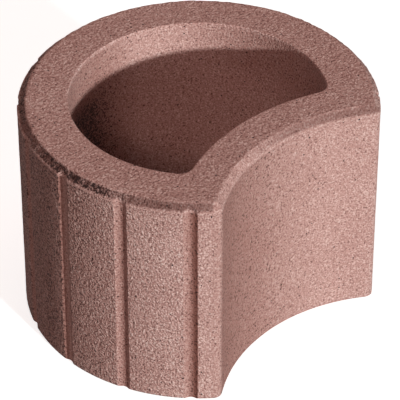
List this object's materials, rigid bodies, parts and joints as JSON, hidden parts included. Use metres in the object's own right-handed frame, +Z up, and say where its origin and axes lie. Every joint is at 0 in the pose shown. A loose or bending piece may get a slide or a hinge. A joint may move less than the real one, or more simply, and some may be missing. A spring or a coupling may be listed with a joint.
{
  "type": "retaining wall block",
  "caption": "Precast concrete planter ring: a round grooved wall round a crescent hollow, with a concave notch that nests the next ring.",
  "frame": {"origin": "centre of the block's footprint, on the base it stands on", "axes": "+Z up, +X across the block, -Y out of the concave notch that takes the next ring"},
  "size_m": [0.3, 0.2659, 0.2],
  "materials": {
    "red_concrete": "rough"
  },
  "bodies": {
    "root": {"planter_ring": "red_concrete"}
  },
  "joints": []
}
